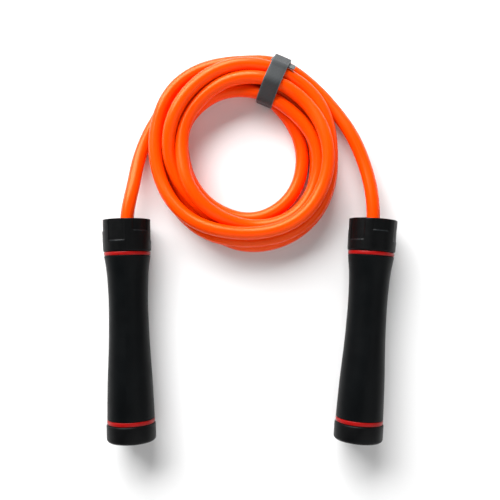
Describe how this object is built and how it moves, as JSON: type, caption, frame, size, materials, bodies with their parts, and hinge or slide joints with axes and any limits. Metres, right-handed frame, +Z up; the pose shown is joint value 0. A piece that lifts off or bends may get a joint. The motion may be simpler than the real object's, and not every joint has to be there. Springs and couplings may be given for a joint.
{
  "type": "jump rope",
  "caption": "Jump rope with a thick plastic cord wound in a strapped coil and two waisted handles that spin on ball bearings.",
  "frame": {"origin": "on the surface that the rope lies on, midway between the two handles and halfway along them", "axes": "+X from the left handle to the right handle, +Y from the handles' butt ends towards the coil, +Z up"},
  "size_m": [0.1991, 0.2632, 0.0329],
  "materials": {
    "cord": "glossy translucent-looking PVC",
    "strap": "woven hook-and-loop tape",
    "grip": "satin soft-touch",
    "cap": "satin moulded",
    "accent": "satin",
    "steel": "ground",
    "stop": "turned",
    "bush": "turned",
    "nylon": "moulded"
  },
  "bodies": {
    "rope": {"cord_coil": "cord", "tie_strap": "strap", "cord_tail_left": "cord", "swivel_bush_left": "bush", "thrust_washer_left": "nylon", "cord_stop_left": "stop", "set_screw_left": "steel", "bearing_inner_race_left": "steel", "cord_tail_right": "cord", "swivel_bush_right": "bush", "thrust_washer_right": "nylon", "cord_stop_right": "stop", "set_screw_right": "steel", "bearing_inner_race_right": "steel"},
    "handle_left": {"top_cap_left": "cap", "upper_ring_left": "accent", "grip_left": "grip", "lower_ring_left": "accent", "butt_cap_left": "cap", "bearing_outer_race_left": "steel", "retaining_ring_left": "steel"},
    "bearing_balls_left": {"ball_left_1": "steel", "ball_left_2": "steel", "ball_left_3": "steel", "ball_left_4": "steel", "ball_left_5": "steel", "ball_left_6": "steel", "ball_left_7": "steel", "ball_cage_left": "nylon"},
    "handle_right": {"top_cap_right": "cap", "upper_ring_right": "accent", "grip_right": "grip", "lower_ring_right": "accent", "butt_cap_right": "cap", "bearing_outer_race_right": "steel", "retaining_ring_right": "steel"},
    "bearing_balls_right": {"ball_right_1": "steel", "ball_right_2": "steel", "ball_right_3": "steel", "ball_right_4": "steel", "ball_right_5": "steel", "ball_right_6": "steel", "ball_right_7": "steel", "ball_cage_right": "nylon"}
  },
  "joints": [
    {"name": "handle_left_spin", "type": "hinge", "parent": "rope", "child": "handle_left", "pos_m": [-0.0832, 0.0741, 0.0165], "axis": [0.0236, -0.9997, 0], "continuous": true},
    {"name": "balls_left_orbit", "type": "hinge", "parent": "rope", "child": "bearing_balls_left", "pos_m": [-0.0832, 0.0741, 0.0165], "axis": [0.0236, -0.9997, 0], "continuous": true},
    {"name": "handle_right_spin", "type": "hinge", "parent": "rope", "child": "handle_right", "pos_m": [0.0832, 0.0741, 0.0165], "axis": [-0.0715, -0.9974, 0], "continuous": true},
    {"name": "balls_right_orbit", "type": "hinge", "parent": "rope", "child": "bearing_balls_right", "pos_m": [0.0832, 0.0741, 0.0165], "axis": [-0.0715, -0.9974, 0], "continuous": true}
  ],
  "couplings": [
    {"joint": "balls_left_orbit", "follows": "handle_left_spin", "ratio": 0.5788},
    {"joint": "balls_right_orbit", "follows": "handle_right_spin", "ratio": 0.5788}
  ]
}
